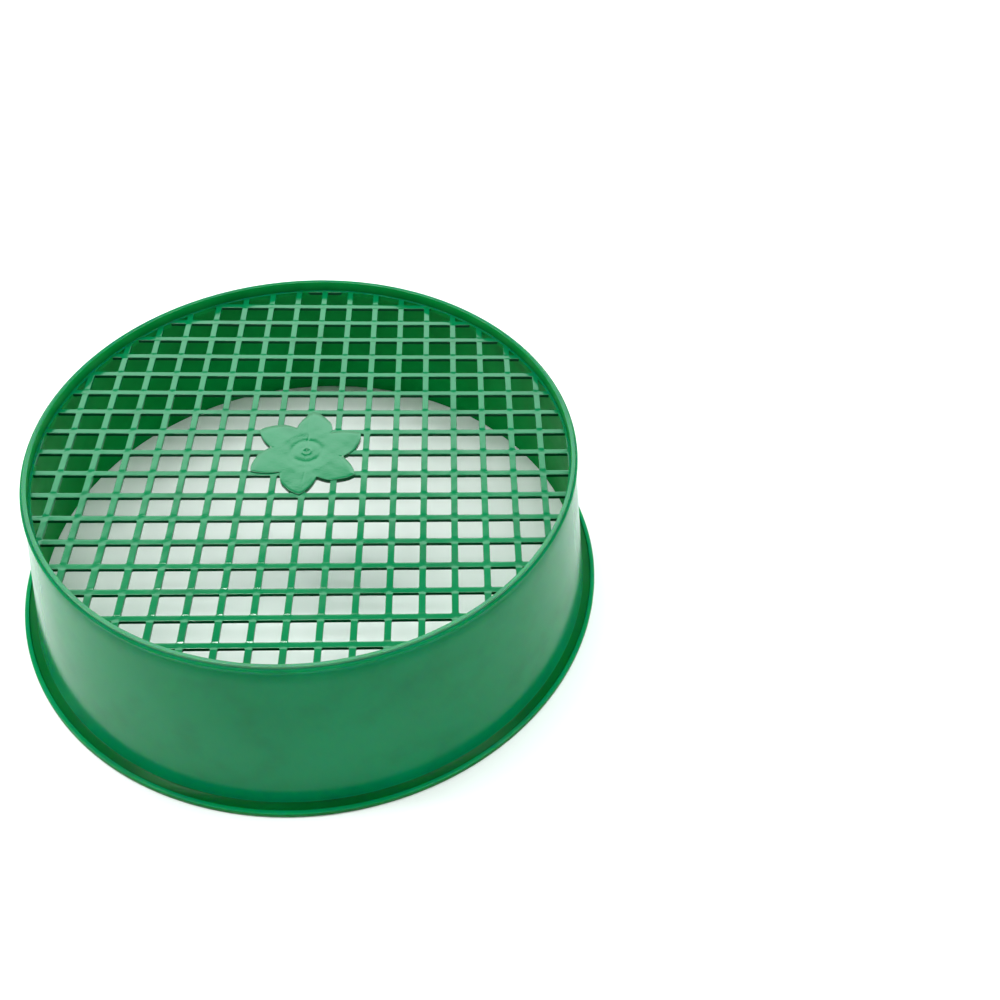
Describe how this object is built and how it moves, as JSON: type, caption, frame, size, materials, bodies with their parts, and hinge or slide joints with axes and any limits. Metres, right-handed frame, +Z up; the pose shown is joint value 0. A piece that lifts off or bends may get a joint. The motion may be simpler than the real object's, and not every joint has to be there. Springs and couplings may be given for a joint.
{
  "type": "soil sieve",
  "caption": "Round plastic garden sieve: square mesh with a flower plate in its middle, tapered wall and an outward flange round the open end. Stands mesh up on its flange.",
  "frame": {"origin": "on the sieve's axis, level with the underside of the flange, which rests on the floor", "axes": "+Z up along the sieve's axis, from the open end to the mesh end; +X and +Y run along the mesh's bars"},
  "size_m": [0.3386, 0.3386, 0.101],
  "materials": {
    "green_plastic": "glossy injection-moulded polypropylene"
  },
  "bodies": {
    "root": {"side_wall": "green_plastic", "mesh_lip": "green_plastic", "mesh_ledge": "green_plastic", "sieve_mesh": "green_plastic", "centre_flower": "green_plastic", "open_end_flange": "green_plastic", "flange_bead": "green_plastic"}
  },
  "joints": []
}
